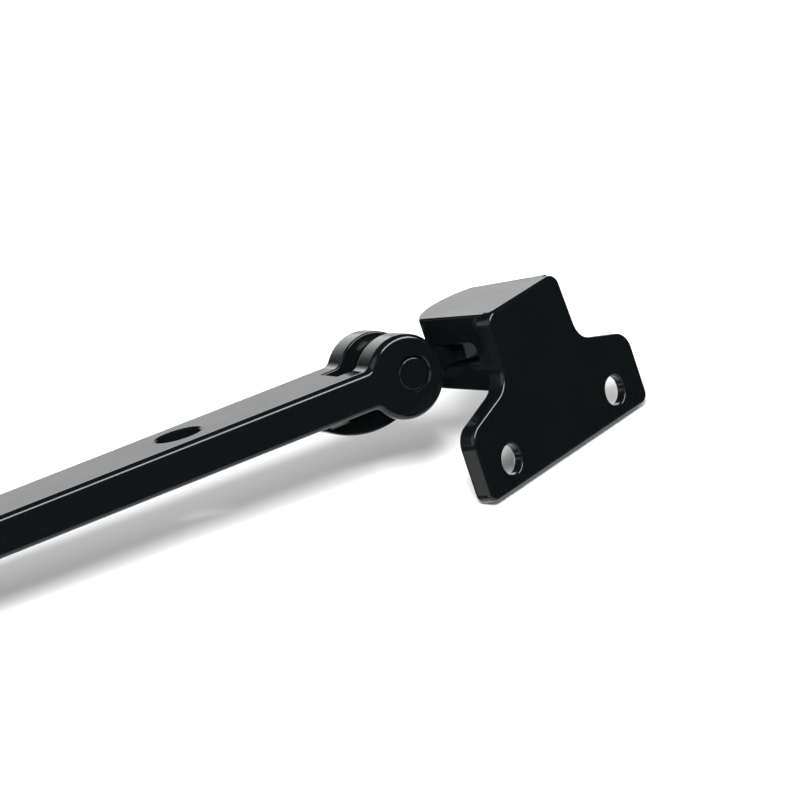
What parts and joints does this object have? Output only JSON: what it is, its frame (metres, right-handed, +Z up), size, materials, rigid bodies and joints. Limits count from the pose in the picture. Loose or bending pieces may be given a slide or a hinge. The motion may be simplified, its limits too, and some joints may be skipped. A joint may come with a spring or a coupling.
{
  "type": "casement window stay",
  "caption": "Black casement stay: screw-on bracket with a hooded swivel, a fork joint that lets the arm lift, and a long arm with peg holes.",
  "frame": {"origin": "centre of the two screw holes, on the bracket's mounting face", "axes": "+Z up, +X along the bracket plate, +Y out of the mounting face towards the hood"},
  "size_m": [0.2552, 0.1034, 0.0357],
  "materials": {
    "black_coat": "semi-gloss black powder coat on cast iron",
    "coated_pin": "semi-gloss black coat over a riveted steel pin"
  },
  "bodies": {
    "bracket": {"bracket": "black_coat", "swivel_pin": "coated_pin"},
    "knuckle": {"knuckle": "black_coat"},
    "arm": {"arm": "black_coat", "fork_pin": "coated_pin"}
  },
  "joints": [
    {"name": "swivel", "type": "hinge", "parent": "bracket", "child": "knuckle", "pos_m": [0, 0.0116, 0.0155], "axis": [0, 0, 1], "range_deg": [-159.6, 20.4]},
    {"name": "lift", "type": "hinge", "parent": "knuckle", "child": "arm", "pos_m": [-0.01378, 0.01672, 0.0155], "axis": [0.3486, 0.9373, 0], "range_deg": [0, 100]}
  ]
}
